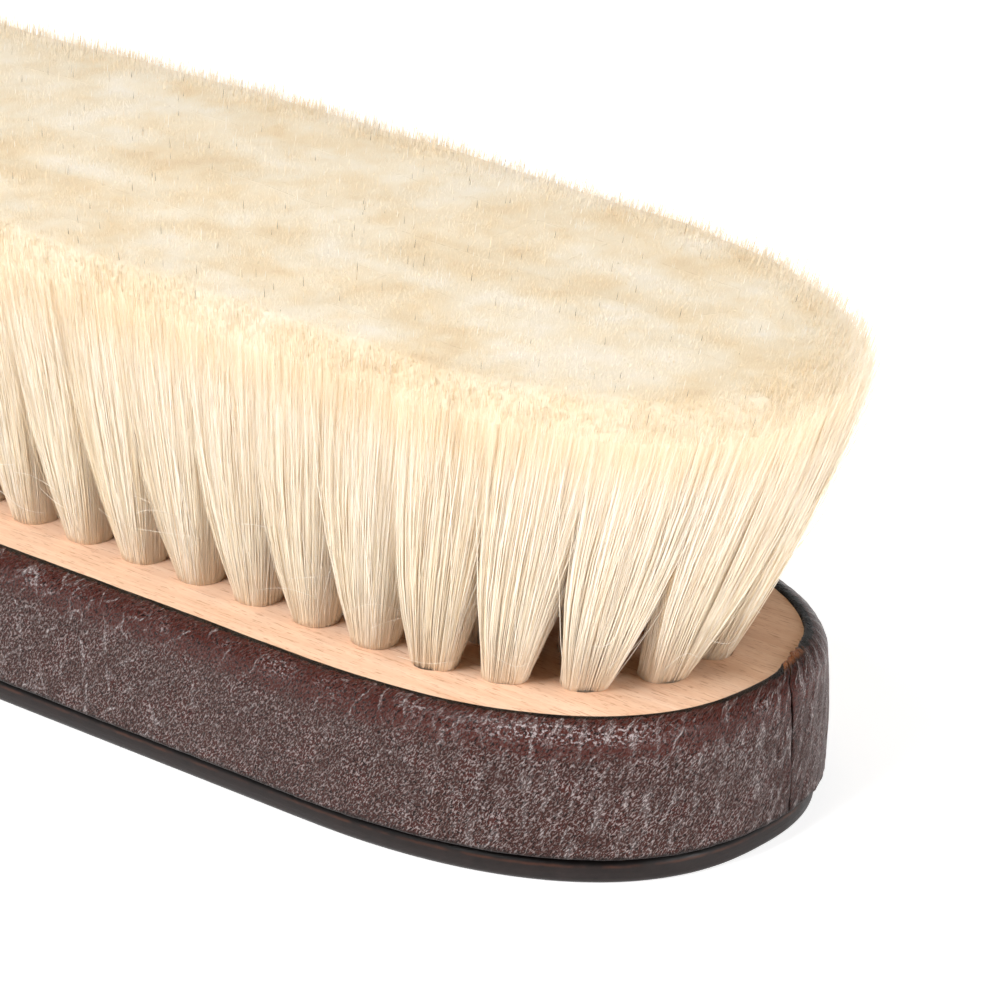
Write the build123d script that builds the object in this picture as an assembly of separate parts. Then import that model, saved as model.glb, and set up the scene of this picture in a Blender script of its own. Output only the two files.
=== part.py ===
from build123d import *
import math
import os

os.makedirs("parts", exist_ok=True)

# ---------------------------------------------------------------- dimensions (mm)
# Frame: the brush lies on its back. +Z up through the hair, +X along the length
# towards the end with the wrap's seam, origin under the middle, on the flat back.
half_width = 28.0        # outer half width of the leather wrap
end_length = 43.22       # how far each rounded end runs beyond its straight side
end_power = 2.353        # superellipse power of the rounded end
straight_half = 47.57    # half length of the straight sides

plate_thick = 3.0        # leather back plate
plate_inset = 1.3        # plate edge inside the wrap's outer face
plate_round_low = 1.1    # rounded lower edge of the plate
plate_round_top = 0.5    # eased upper edge of the plate

wrap_gap = 0.35          # dark groove between the plate and the wrap
wrap_thick = 2.4         # leather strip round the block
wrap_proud = 0.35        # strip stands this far above the wood
wrap_round = 1.5         # rounded outer top edge of the strip
seam_y = 3.3             # the strip's ends meet here, at the +X end
seam_gap = 0.3

glue_gap = 0.05          # bond line between block and strip
wood_top = 18.43         # upper face of the block
hair_top = 54.3          # trimmed height of the hair
hair_end_drop = 1.6      # the fanned end tufts are this much lower
hair_half_width = 30.0   # half width of the trimmed face
hair_half_length = 98.6  # half length of the trimmed face

pitch = 8.467            # tuft spacing along the rows
row_y = 8.55             # tuft spacing across the rows
columns = 15             # crosswise rows of five tufts
hole_r = 2.40            # drilled holes
hole_depth = 10.5
root_r = 2.35            # bound root of a tuft
neck_r = 2.2             # the tuft where it leaves the wood, before it flares
anchor_w, anchor_t, anchor_h = 5.6, 0.45, 2.0   # flat steel anchor
anchor_up = 1.3          # anchor centre above the hole's bottom
mid_t = 0.38             # height fraction where neighbouring tufts meet


# ---------------------------------------------------------------- outlines
def end_points(off, n=27):
    """Points round the +X end, from the -Y side to the +Y side, inset by off."""
    pts = []
    for i in range(n):
        th = -math.pi / 2 + math.pi * i / (n - 1)
        c, s = max(math.cos(th), 0.0), math.sin(th)
        x = end_length * c ** (2 / end_power)
        y = half_width * math.copysign(abs(s) ** (2 / end_power), s)
        # outward normal of the superellipse
        gx = (x / end_length) ** (end_power - 1) / end_length
        gy = math.copysign(abs(y / half_width) ** (end_power - 1), y) / half_width
        g = math.hypot(gx, gy)
        pts.append((straight_half + x - off * gx / g, y - off * gy / g))
    return pts


def outline(off):
    """Closed stadium-like outline, inset by off."""
    right = end_points(off)
    left = [(-x, -y) for x, y in right]
    edges = []
    for pts, t0, t1 in ((right, (1, 0), (-1, 0)), (left, (-1, 0), (1, 0))):
        mid = len(pts) // 2
        tip = (0, 1) if pts is right else (0, -1)
        a = Spline(*pts[:mid + 1], tangents=(t0, tip))
        b = Spline(*pts[mid:], tangents=(tip, t1))
        edges += [a, b]
    edges.append(Line(right[-1], left[0]))
    edges.append(Line(left[-1], right[0]))
    return Wire(edges)


def slab(off, z0, z1):
    face = Face(outline(off)).moved(Location((0, 0, z0)))
    if face.normal_at().Z < 0:
        face = -face
    return Solid.extrude(face, Vector(0, 0, z1 - z0))


def edges_at(solid, z):
    return [e for e in solid.edges() if abs(e.bounding_box().min.Z - z) < 1e-4
            and abs(e.bounding_box().max.Z - z) < 1e-4]


# ---------------------------------------------------------------- back plate
back_plate = slab(plate_inset, 0, plate_thick)
back_plate = back_plate.fillet(plate_round_low, edges_at(back_plate, 0))
back_plate = back_plate.fillet(plate_round_top, edges_at(back_plate, plate_thick))

# ---------------------------------------------------------------- side wrap
wrap_z0 = plate_thick + wrap_gap
wrap_z1 = wood_top + wrap_proud
outer = slab(0, wrap_z0, wrap_z1)
outer = outer.fillet(wrap_round, edges_at(outer, wrap_z1))
side_wrap = outer - slab(wrap_thick, wrap_z0 - 1, wrap_z1 + 1)
seam = Pos(straight_half + end_length, seam_y, (wrap_z0 + wrap_z1) / 2) * Box(14, seam_gap, 40)
side_wrap = side_wrap - seam


# ---------------------------------------------------------------- tuft layout
def top_of(x, y):
    """Centre of a tuft's trimmed end, for a straight-row tuft rooted at x, y."""
    return x, y * 24.0 / (2 * row_y)


tufts = []     # (group, root x, root y, top x, top y, top half x, top half y, mid half x, mid half y)
half_cols = columns // 2
for k in range(-half_cols, half_cols + 1):
    for r in (-2, -1, 0, 1, 2):
        x, y = k * pitch, r * row_y
        tx, ty = top_of(x, y)
        tufts.append(("hair_row_%02d" % (k + half_cols + 1), x, y, tx, ty, 4.05, 5.7, 3.95, 4.0))

# fanned tufts of one rounded end: root, and the centre of the trimmed end
fan = [
    ("inner", 68.2, 4.3, 71.3, 6.1, 5.2, 5.7, 3.9, 3.9),
    ("shoulder", 66.97, 14.8, 70.3, 20.3, 5.3, 5.7, 3.9, 3.9),
    ("corner", 74.45, 10.9, 83.3, 17.3, 6.0, 6.0, 4.1, 4.1),
    ("tip", 79.1, 3.9, 91.6, 6.2, 6.9, 5.8, 4.3, 3.8),
]
for end, sx in (("a", 1), ("b", -1)):
    for name, x, y, tx, ty, hx, hy, mx, my in fan:
        for sy in (-1, 1):
            tufts.append(("hair_end_%s_%s" % (end, name), sx * x, sy * y, sx * tx, sy * ty, hx, hy, mx, my))


def section(cx, cy, z, rx, ry):
    plane = Plane(origin=(cx, cy, z), x_dir=(1, 0, 0), z_dir=(0, 0, 1))
    if abs(rx - ry) < 1e-6:
        return plane * Circle(rx)
    if rx > ry:
        return plane * Ellipse(rx, ry)
    plane = Plane(origin=(cx, cy, z), x_dir=(0, 1, 0), z_dir=(0, 0, 1))
    return plane * Ellipse(ry, rx)


hair, staples, drills = {}, {}, []
for group, x, y, tx, ty, hx, hy, mx, my in tufts:
    z_top = hair_top - (hair_end_drop if group.endswith(("tip", "corner")) else 0.0)
    z_mid = wood_top + mid_t * (z_top - wood_top)
    cx, cy = x + 0.5 * (tx - x), y + 0.5 * (ty - y)
    # drilled axis: from the hole's bottom up through the root, towards the mid section
    d = Vector(cx - x, cy - y, z_mid - wood_top).normalized()
    root = Vector(x, y, wood_top)
    bottom = root - d * hole_depth
    axis = Plane(origin=bottom, z_dir=d, x_dir=(1, 0, 0) if abs(d.X) < 0.9 else (0, 1, 0))
    drill = axis * Cylinder(hole_r, hole_depth + 8, align=(Align.CENTER, Align.CENTER, Align.MIN))
    drills.append(drill)
    stub = axis * Cylinder(root_r, hole_depth + 8, align=(Align.CENTER, Align.CENTER, Align.MIN))
    stub = stub & Pos(x, y, wood_top / 2) * Box(40, 40, wood_top)
    # above the wood the tuft flares until it meets its neighbours
    fl = loft([section(x, y, wood_top, neck_r, neck_r), section(cx, cy, z_mid, mx, my),
               section(tx, ty, z_top, hx, hy)], ruled=True)
    tuft = stub.solid().fuse(fl.solid())
    tuft = tuft.solid() if not isinstance(tuft, Solid) else tuft
    anchor = (axis * Pos(0, 0, anchor_up) * Box(anchor_w, anchor_t, anchor_h)).solid()
    tuft = (tuft - anchor)
    hair.setdefault(group, []).append(tuft.solid())
    staples.setdefault(group, []).append(anchor)

# ---------------------------------------------------------------- block
bristle_stock = slab(wrap_thick + glue_gap, plate_thick, wood_top)
bristle_stock = bristle_stock - drills
bristle_stock = bristle_stock - [a for g in staples.values() for a in g]


# ---------------------------------------------------------------- write the pieces
def write(name, shape):
    if isinstance(shape, (list, tuple)):
        shape = Compound(children=list(shape)) if len(shape) > 1 else shape[0]
    shape.label = name
    export_step(shape, "parts/%s.step" % name)
    print(name, round(shape.volume, 2))


for old in os.listdir("parts"):
    if old.endswith(".step"):
        os.remove(os.path.join("parts", old))

write("bristle_stock", bristle_stock.solid() if len(bristle_stock.solids()) == 1 else bristle_stock)
write("side_wrap", side_wrap.solid() if len(side_wrap.solids()) == 1 else side_wrap)
write("back_plate", back_plate)
for group, solids in hair.items():
    write(group, solids)
ends = {"a": [], "b": []}
for group, solids in staples.items():
    if group.startswith("hair_row"):
        write(group.replace("hair_row", "anchors_row"), solids)
    else:
        ends[group.split("_")[2]] += solids
for end, solids in ends.items():
    write("anchors_end_%s" % end, solids)
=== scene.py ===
import bpy
import math
import numpy as np
from mathutils import Matrix, Vector


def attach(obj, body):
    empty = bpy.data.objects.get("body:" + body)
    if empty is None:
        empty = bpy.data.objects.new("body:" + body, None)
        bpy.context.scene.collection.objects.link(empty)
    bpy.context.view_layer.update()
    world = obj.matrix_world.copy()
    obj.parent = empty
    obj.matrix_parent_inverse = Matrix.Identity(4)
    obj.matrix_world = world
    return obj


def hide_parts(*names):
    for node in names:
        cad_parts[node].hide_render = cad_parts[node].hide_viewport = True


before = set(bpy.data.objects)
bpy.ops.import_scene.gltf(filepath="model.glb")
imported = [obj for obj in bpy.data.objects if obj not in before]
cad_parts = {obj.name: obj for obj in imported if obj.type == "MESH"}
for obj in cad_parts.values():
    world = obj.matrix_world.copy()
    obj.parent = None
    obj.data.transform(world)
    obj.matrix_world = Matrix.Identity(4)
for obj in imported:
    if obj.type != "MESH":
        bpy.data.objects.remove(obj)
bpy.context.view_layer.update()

scene = bpy.context.scene
scene.view_settings.view_transform = "Standard"
scene.view_settings.look = "None"
scene.view_settings.exposure = 0.0
scene.cycles.max_bounces = 24
scene.cycles.diffuse_bounces = 10
MM = 0.001

# ------------------------------------------------------------------ camera
CAM_POS = (415.50, -415.98, 262.14)          # mm
CAM_AZ, CAM_EL, CAM_F = 41.0412, 22.8581, 5.6112


def make_camera():
    a, e = math.radians(CAM_AZ), math.radians(CAM_EL)
    back = Vector((math.sin(a) * math.cos(e), -math.cos(a) * math.cos(e), math.sin(e)))
    right = Vector((math.cos(a), math.sin(a), 0))
    up = back.cross(right)
    data = bpy.data.cameras.new("camera")
    data.sensor_width = 36
    data.sensor_fit = "HORIZONTAL"
    data.lens = 36 * CAM_F
    data.clip_start, data.clip_end = 0.02, 50
    cam = bpy.data.objects.new("camera", data)
    cam.matrix_world = Matrix((
        (right.x, up.x, back.x, CAM_POS[0] * MM),
        (right.y, up.y, back.y, CAM_POS[1] * MM),
        (right.z, up.z, back.z, CAM_POS[2] * MM),
        (0, 0, 0, 1)))
    scene.collection.objects.link(cam)
    scene.camera = cam


make_camera()


# ------------------------------------------------------------------ shared sizes (mm)
HALF_W, END_LEN, END_POW, STRAIGHT = 28.0, 43.22, 2.353, 47.57
PLATE_T, WRAP_GAP, WRAP_T, WRAP_PROUD = 3.0, 0.35, 2.4, 0.35
WOOD_TOP, HAIR_TOP = 18.43, 54.3
PITCH, ROW_Y, HALF_COLS = 8.467, 8.55, 7
FAN = [("inner", 68.2, 4.3), ("shoulder", 66.97, 14.8), ("corner", 74.45, 10.9), ("tip", 79.1, 3.9)]


# ------------------------------------------------------------------ node helpers
class Nodes:
    def __init__(self, name):
        self.mat = bpy.data.materials.new(name)
        self.mat.use_nodes = True
        self.nt = self.mat.node_tree
        self.nt.nodes.clear()
        self.out = self.add("ShaderNodeOutputMaterial")
        self.bsdf = self.add("ShaderNodeBsdfPrincipled")
        self.link(self.bsdf.outputs["BSDF"], self.out.inputs["Surface"])

    def add(self, kind, **props):
        n = self.nt.nodes.new(kind)
        for k, v in props.items():
            setattr(n, k, v)
        return n

    def link(self, a, b):
        self.nt.links.new(a, b)

    def put(self, sock, v):
        if isinstance(v, bpy.types.NodeSocket):
            self.link(v, sock)
        elif v is not None:
            sock.default_value = v

    def math(self, op, a, b=None, c=None, clamp=False):
        n = self.add("ShaderNodeMath", operation=op)
        n.use_clamp = clamp
        for i, v in enumerate((a, b, c)):
            self.put(n.inputs[i], v)
        return n.outputs[0]

    def vmath(self, op, a, b=None, s=None):
        n = self.add("ShaderNodeVectorMath", operation=op)
        self.put(n.inputs[0], a)
        self.put(n.inputs[1], b)
        if s is not None:
            self.put(n.inputs["Scale"], s)
        return n.outputs[0]

    def noise(self, vec, scale, detail=3.0, rough=0.55, dim="3D", w=None, dist=0.0):
        n = self.add("ShaderNodeTexNoise", noise_dimensions=dim)
        if vec is not None and "Vector" in n.inputs:
            self.put(n.inputs["Vector"], vec)
        if w is not None:
            self.put(n.inputs["W"], w)
        n.inputs["Scale"].default_value = scale
        n.inputs["Detail"].default_value = detail
        n.inputs["Roughness"].default_value = rough
        n.inputs["Distortion"].default_value = dist
        return n.outputs[0]

    def voronoi(self, vec, scale, feature="F1", rand=1.0, out="Distance"):
        n = self.add("ShaderNodeTexVoronoi", feature=feature)
        self.put(n.inputs["Vector"], vec)
        n.inputs["Scale"].default_value = scale
        n.inputs["Randomness"].default_value = rand
        return n.outputs[out]

    def ramp(self, fac, stops, interp="LINEAR"):
        n = self.add("ShaderNodeValToRGB")
        n.color_ramp.interpolation = interp
        els = n.color_ramp.elements
        while len(els) > 1:
            els.remove(els[-1])
        els[0].position, els[0].color = stops[0][0], (*stops[0][1], 1)
        for p, c in stops[1:]:
            e = els.new(p)
            e.color = (*c, 1)
        self.put(n.inputs[0], fac)
        return n.outputs[0]

    def range(self, v, a, b, c=0.0, d=1.0, smooth=False):
        n = self.add("ShaderNodeMapRange")
        n.interpolation_type = "SMOOTHSTEP" if smooth else "LINEAR"
        self.put(n.inputs["Value"], v)
        for k, x in (("From Min", a), ("From Max", b), ("To Min", c), ("To Max", d)):
            n.inputs[k].default_value = x
        return n.outputs["Result"]

    def mix(self, fac, a, b, blend="MIX"):
        n = self.add("ShaderNodeMix", data_type="RGBA", blend_type=blend)
        n.clamp_factor = True
        self.put(n.inputs[0], fac)
        for i, v in ((6, a), (7, b)):
            if isinstance(v, tuple):
                n.inputs[i].default_value = (*v[:3], 1)
            else:
                self.put(n.inputs[i], v)
        return n.outputs[2]

    def bump(self, height, strength, dist, normal=None):
        n = self.add("ShaderNodeBump")
        n.inputs["Strength"].default_value = strength
        n.inputs["Distance"].default_value = dist
        self.put(n.inputs["Height"], height)
        if normal is not None:
            self.link(normal, n.inputs["Normal"])
        return n.outputs[0]

    def mapping(self, vec, scale=(1, 1, 1), rot=(0, 0, 0), loc=(0, 0, 0)):
        n = self.add("ShaderNodeMapping")
        self.put(n.inputs["Vector"], vec)
        n.inputs["Scale"].default_value = scale
        n.inputs["Rotation"].default_value = rot
        n.inputs["Location"].default_value = loc
        return n.outputs[0]

    def object_coords(self):
        """Object coordinates in millimetres."""
        n = self.add("ShaderNodeTexCoord")
        return self.vmath("SCALE", n.outputs["Object"], None, 1000.0)

    def set(self, **kw):
        for k, v in kw.items():
            self.put(self.bsdf.inputs[k.replace("_", " ")], v)


def assign(obj, mat):
    obj.data.materials.clear()
    obj.data.materials.append(mat)


# ------------------------------------------------------------------ outlines
def end_curve(off, n):
    """Points round the +X end from -Y to +Y, inset by off (mm)."""
    th = np.linspace(-math.pi / 2, math.pi / 2, n)
    c, s = np.clip(np.cos(th), 0, 1), np.sin(th)
    x = END_LEN * c ** (2 / END_POW)
    y = HALF_W * np.sign(s) * np.abs(s) ** (2 / END_POW)
    gx = (x / END_LEN) ** (END_POW - 1) / END_LEN
    gy = np.sign(y) * np.abs(y / HALF_W) ** (END_POW - 1) / HALF_W
    g = np.hypot(gx, gy)
    return np.stack([STRAIGHT + x - off * gx / g, y - off * gy / g], 1)


def closed_outline(off, n_end=800):
    r = end_curve(off, n_end)
    l = -r
    return np.concatenate([r, l, r[:1]])


# ------------------------------------------------------------------ hair
rng = np.random.default_rng(140)

tufts = []      # (group, x, y, outward, open)
for k in range(-HALF_COLS, HALF_COLS + 1):
    for r in (-2, -1, 0, 1, 2):
        tufts.append(("hair_row_%02d" % (k + HALF_COLS + 1), k * PITCH, r * ROW_Y, abs(r) == 2))
for end, sx in (("a", 1), ("b", -1)):
    for name, x, y in FAN:
        for sy in (-1, 1):
            tufts.append(("hair_end_%s_%s" % (end, name), sx * x, sy * y, name != "inner"))
TUFT_XY = np.array([(t[1], t[2]) for t in tufts])
TUFT_OUTER = np.array([t[3] for t in tufts])
TUFT_GROUP = [t[0] for t in tufts]

V_HALF, V_LEN, V_C, V_POW = 21.4, 83.5, 50.0, 2.3       # root-plane region that the tufts share out
T_NEAR, T_FAR, T_LEN = 25.9, 31.9, 98.7                  # trimmed face: it leans over further on the far side
Z_ROOT = WOOD_TOP - 0.9


def v_half(x):
    """Half width of the root-plane region at x."""
    d = np.clip((np.abs(x) - V_C) / (V_LEN - V_C), 0, 1)
    return V_HALF * (1 - d ** V_POW) ** (1 / V_POW)


def v_edge(p):
    """0 in the middle of the root-plane region, 1 on its border."""
    d = np.clip((np.abs(p[:, 0]) - V_C) / (V_LEN - V_C), 0, None)
    return (d ** V_POW + (np.abs(p[:, 1]) / V_HALF) ** V_POW) ** (1 / V_POW)


def v_out(p):
    """Outward direction of the root-plane region at p."""
    d = np.clip((np.abs(p[:, 0]) - V_C) / (V_LEN - V_C), 0, None)
    g = np.stack([np.sign(p[:, 0]) * d ** (V_POW - 1) / (V_LEN - V_C),
                  np.sign(p[:, 1]) * (np.abs(p[:, 1]) / V_HALF) ** (V_POW - 1) / V_HALF], 1)
    return g / np.maximum(np.linalg.norm(g, axis=1, keepdims=True), 1e-9)


def top_map(x, y):
    """Root-plane position to trimmed-face position. The lean along the brush is nothing in the middle and grows
    towards the ends."""
    ax = np.abs(x)
    X = np.sign(x) * (ax + (T_LEN - V_LEN) * np.clip(ax / V_LEN, 0, 1) ** 1.75)
    q = y / np.maximum(v_half(x), 1e-6)
    c0 = 53.3
    d = np.clip((np.abs(X) - c0) / (T_LEN - c0), 0, 1)
    n = np.where(y < 0, 2.7, np.where(x > 0, 1.82, 1.95))
    hw = np.where(y < 0, T_NEAR, T_FAR) * (1 - d ** n) ** (1 / n)
    return X, q * hw


def v_far(p):
    """0 on the near side of the root-plane region, 1 on the far side."""
    u = np.clip((p[:, 1] / V_HALF + 0.35) / 0.9, 0, 1)
    return u * u * (3 - 2 * u)


def smooth_noise(p, cell, seed, octaves=2):
    """Value noise on 2-D points, -1..1, the same each run."""
    out = np.zeros(len(p))
    amp, tot = 1.0, 0.0
    for o in range(octaves):
        g = np.random.default_rng(seed + o).uniform(-1, 1, (512, 512))
        q = p / cell * 2 ** o + 200.37
        i = np.floor(q).astype(int)
        f = q - i
        f = f * f * (3 - 2 * f)
        i %= 511
        a, b = g[i[:, 0], i[:, 1]], g[i[:, 0] + 1, i[:, 1]]
        c, d = g[i[:, 0], i[:, 1] + 1], g[i[:, 0] + 1, i[:, 1] + 1]
        out += amp * ((a * (1 - f[:, 0]) + b * f[:, 0]) * (1 - f[:, 1]) + (c * (1 - f[:, 0]) + d * f[:, 0]) * f[:, 1])
        tot += amp
        amp *= 0.5
    return out / tot


def tube_arrays(P, R, col, along):
    """Closed three-sided tapered tubes. P: strands x rings x 3, its last ring the tip point. R: ring radii. col: 0..1,
    each ring's column of the colour strip. along: each ring's place on the hair, 0 root to 1 tip."""
    S, K = P.shape[:2]
    T = np.empty_like(P)
    T[:, 1:-1] = P[:, 2:] - P[:, :-2]
    T[:, 0], T[:, -1] = P[:, 1] - P[:, 0], P[:, -1] - P[:, -2]
    T /= np.linalg.norm(T, axis=2, keepdims=True) + 1e-12
    ang = rng.uniform(0, 2 * math.pi, S)
    ref = np.stack([np.cos(ang), np.sin(ang), 0.001 * ang], 1)[:, None]
    A = ref - (ref * T).sum(2, keepdims=True) * T
    A /= np.linalg.norm(A, axis=2, keepdims=True) + 1e-12
    B = np.cross(T, A)
    ring = np.stack([P[:, :-1] + R[:, :-1, None] * (A[:, :-1] * math.cos(w) + B[:, :-1] * math.sin(w))
                     for w in (0, 2 * math.pi / 3, 4 * math.pi / 3)], 2)
    nv = (K - 1) * 3 + 1
    verts = np.concatenate([ring.reshape(S, (K - 1) * 3, 3), P[:, -1:]], 1).reshape(-1, 3)
    quads = np.array([(i * 3 + j, i * 3 + (j + 1) % 3, i * 3 + (j + 1) % 3 + 3, i * 3 + j + 3)
                      for i in range(K - 2) for j in range(3)])
    last = (K - 2) * 3
    tris = np.array([(last + j, last + (j + 1) % 3, nv - 1) for j in range(3)] + [(2, 1, 0)])
    base = (np.arange(S) * nv)[:, None, None]
    ids = np.floor(np.broadcast_to(col, (S, K)) * 127.999)
    u = (ids[:, :-1, None] + np.array([0.2, 0.5, 0.8])[None, None, :]) / 128.0
    along = np.broadcast_to(along, (S, K))
    v = np.broadcast_to(along[:, :-1, None], u.shape)
    uv = np.stack([u, v], 3).reshape(S, (K - 1) * 3, 2)
    tip = np.stack([(ids[:, -1] + 0.5) / 128.0, np.minimum(along[:, -1], 0.999)], 1)[:, None]
    uv = np.concatenate([uv, tip], 1).reshape(-1, 2)
    return verts, (quads[None] + base).reshape(-1, 4), (tris[None] + base).reshape(-1, 3), uv


def strand_mesh(name, batches):
    vs, qs, ts, uvs, n = [], [], [], [], 0
    for v, q, t, uv in batches:
        vs.append(v)
        qs.append(q + n)
        ts.append(t + n)
        uvs.append(uv)
        n += len(v)
    verts, q, t, uv = np.concatenate(vs), np.concatenate(qs), np.concatenate(ts), np.concatenate(uvs)
    me = bpy.data.meshes.new(name)
    me.vertices.add(len(verts))
    me.vertices.foreach_set("co", (verts * MM).astype(np.float32).ravel())
    me.loops.add(q.size + t.size)
    loop_v = np.concatenate([q.ravel(), t.ravel()]).astype(np.int32)
    me.loops.foreach_set("vertex_index", loop_v)
    me.polygons.add(len(q) + len(t))
    start = np.concatenate([np.arange(len(q)) * 4, q.size + np.arange(len(t)) * 3]).astype(np.int32)
    me.polygons.foreach_set("loop_start", start)
    me.polygons.foreach_set("use_smooth", np.ones(len(start), bool))
    uv = uv.astype(np.float32)
    for layer in ("strand", "OFBake"):
        me.uv_layers.new(name=layer).data.foreach_set("uv", uv[loop_v].ravel())
    me.update(calc_edges=True)
    obj = bpy.data.objects.new(name, me)
    scene.collection.objects.link(obj)
    return obj


def face_height(tip, off, rim, far):
    """Height of the trimmed face at the hairs' ends: nearly flat, each tuft a little domed, rounded off at the near rim."""
    z = HAIR_TOP + 0.2 - (2.3 - 2.1 * far) * rim ** 2 + 0.30 * smooth_noise(tip, 7.0, 11) - 0.09 * (off ** 2).sum(1)
    u = np.clip((np.abs(tip[:, 0]) - 5) / 65, 0, 1)
    return z - (0.35 + 0.75 * far) * u * u * (3 - 2 * u)


def face_tone(tip, edge, far):
    """Column of the colour strip at the hairs' ends: warmer and darker on the trimmed face as painted shade among the
    ends, in soft patches; paler at its border as painted light, most of all on the far side.
    """
    u = np.clip((edge - 0.80) / 0.20, 0, 1)
    u = u * u * (3 - 2 * u)
    mott = smooth_noise(tip * [0.8, 1.0], 5.5, 31) + 0.5 * smooth_noise(tip, 1.6, 37)
    return 0.54 - (0.05 + 0.25 * far) * u + 0.30 * mott * (1 - 0.6 * u)


def stretched(disc, n, ln):
    """Places round a hole's middle, drawn out the way the tuft leans, as its slanted hole is at the wood."""
    return disc + n * (disc * n).sum(1, keepdims=True) * (0.10 * np.minimum(ln / 8.0, 1.0))


def rise(x, a, b):
    u = np.clip((x - a) / (b - a), 0, 1)
    return u * u * (3 - 2 * u)


def tuft_path(c, n, cen_top, r0, r1, z_end, tau, k_n, k_t):
    """Points of hairs from r0 round the hole's middle to r1 round the tuft's trimmed middle. Near the hole a tuft opens
    fast towards its neighbours and slowly outwards, and its lean eases off towards the trimmed end."""
    f = tau + 0.20 * tau * (1 - tau)
    s = 0.9 / (HAIR_TOP - Z_ROOT)
    s = s + 0.20 * s * (1 - s)
    f = (f - s) / (1 - s)
    t = np.stack([-n[..., 1], n[..., 0]], 2)
    late = tau * tau / (tau + 0.06)
    g_n, g_t = 1 - (1 - tau) ** k_n, 1 - (1 - late) ** k_t
    d = r1 - r0
    xy = c + (cen_top - c) * f + r0 + n * (d * n).sum(2, keepdims=True) * g_n + t * (d * t).sum(2, keepdims=True) * g_t
    z = Z_ROOT + (z_end - Z_ROOT) * tau
    return xy, z


def core_arrays(t, M=72):
    """The dense middle of a tuft, where hairs can't be told apart: a closed body with a ridge for each lock, just
    inside the skin of hairs and just under the trimmed face."""
    c = TUFT_XY[t]
    cen_top = np.array(top_map(*c[:, None])).T[0]
    lean = cen_top - c
    ln = np.linalg.norm(lean)
    n = lean / ln if ln > 0.3 else np.array([0.0, 1.0])
    a = np.linspace(0, 2 * math.pi, M, endpoint=False)
    ray = np.stack([np.cos(a), np.sin(a)], 1)
    steps = np.arange(0.5, 11, 0.05)
    q = c + ray[:, None] * steps[None, :, None]
    flat = q.reshape(-1, 2)
    near = np.argmin(((flat[:, None] - TUFT_XY[None]) ** 2).sum(2), 1) == t
    ok = (near & (v_edge(flat) < 0.965)).reshape(M, -1)
    reach = steps[np.argmin(ok, 1)]
    p = c + ray * (reach * 1.0)[:, None]
    off = (p - c) / np.array([4.3, 4.35])
    off /= np.maximum(1.0, np.abs(off).max(1))[:, None]
    disc = np.stack([off[:, 0] * np.sqrt(1 - off[:, 1] ** 2 / 2), off[:, 1] * np.sqrt(1 - off[:, 0] ** 2 / 2)], 1)
    outer = TUFT_OUTER[t]
    ridge = rng.uniform(-1, 1, M)

    def lid(s, sunk):
        """A ring of the top, s of the way out to the border shared with the neighbours."""
        q = c + (p - c) * s
        r = np.clip((v_edge(q) - 0.78) / 0.22, 0, 1)
        far = v_far(q)
        xy = np.stack(top_map(q[:, 0], q[:, 1]), 1) - v_out(q) * (0.65 * r)[:, None]
        z = face_height(xy, np.zeros_like(q), r, far) - 0.45 - (1.5 - 1.0 * far) * r ** 2 - sunk
        return np.concatenate([xy, z[:, None]], 1), face_tone(xy, v_edge(q), far)

    last, last_tone = lid(1.016, 0.45)
    tau = np.array([0.0, 0.03, 0.08, 0.15, 0.24, 0.36, 0.5, 0.66, 0.83, 1.0])
    tt = tau[None, :, None]
    xy, z = tuft_path(c[None, None], n[None, None], cen_top[None, None], (stretched(disc, n[None], ln) * 1.95)[:, None], (last[:, :2] - cen_top)[:, None],
                      last[:, 2][:, None, None], tt, K_N[outer], K_T)
    mid = c + (cen_top - c) * tt
    fine = ridge[:, None] * np.cos(3.0 * tt[..., 0] + 6 * ridge[:, None]) * np.sin(np.pi * np.minimum(tt[..., 0] * 1.6 + 0.06, 0.5))
    away = xy - mid
    away /= np.linalg.norm(away, axis=2, keepdims=True)
    close = (1 - tt[..., 0] ** 6) * np.minimum(tt[..., 0] * 6, 1)
    xy = xy + away * ((0.03 * fine - 0.05 - 0.08 * (1 - tt[..., 0])) * close)[..., None]
    body = np.concatenate([xy, np.broadcast_to(z, xy.shape[:2] + (1,))], 2)          # M, 10, 3
    caps, tones = [], []
    for s in (1.013, 0.995, 0.86, 0.7, 0.5, 0.25):
        ring, tn = lid(s, 0.0)
        caps.append(ring)
        tones.append(tn)
    zero = np.zeros(1)
    mid_far = v_far(c[None])
    centre = np.concatenate([cen_top, face_height(cen_top[None], np.zeros((1, 2)), zero, mid_far) - 0.45])
    rings = np.concatenate([body, np.stack(caps, 1)], 1)                              # M, K, 3
    K = rings.shape[1]
    verts = np.concatenate([rings.reshape(-1, 3), centre[None], np.array([[*c, Z_ROOT]])])
    j = np.arange(M)
    jn = (j + 1) % M
    quads = np.concatenate([np.stack([j * K + i, jn * K + i, jn * K + i + 1, j * K + i + 1], 1) for i in range(K - 1)])
    tris = np.concatenate([np.stack([j * K + K - 1, jn * K + K - 1, np.full(M, M * K)], 1),
                           np.stack([jn * K, j * K, np.full(M, M * K + 1)], 1)])
    tone = np.clip(0.40 + 0.08 * rng.normal(0, 1, M), 0.2, 0.9)[:, None]
    # the body is palest a little below the trimmed face, as painted light on the upper side, and its top takes the
    # painted tones of face_tone
    w, pale = rise(tau, 0.76, 1.0)[None], 0.15 * rise(tau, 0.30, 0.78)[None]
    u = np.concatenate([(tone - pale) * (1 - w) + last_tone[:, None] * w, np.stack(tones, 1)], 1)
    v = np.concatenate([tau * 0.95, np.full(len(tones), 0.97)])
    uv = np.stack([np.clip(u, 0.02, 0.93), np.broadcast_to(v, u.shape)], 2).reshape(-1, 2)
    uv = np.concatenate([uv, [[float(np.clip(face_tone(cen_top[None], v_edge(c[None]), mid_far)[0], 0.02, 0.93)), 0.97], [0.5, 0.0]]])
    return verts, quads, tris, uv


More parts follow.
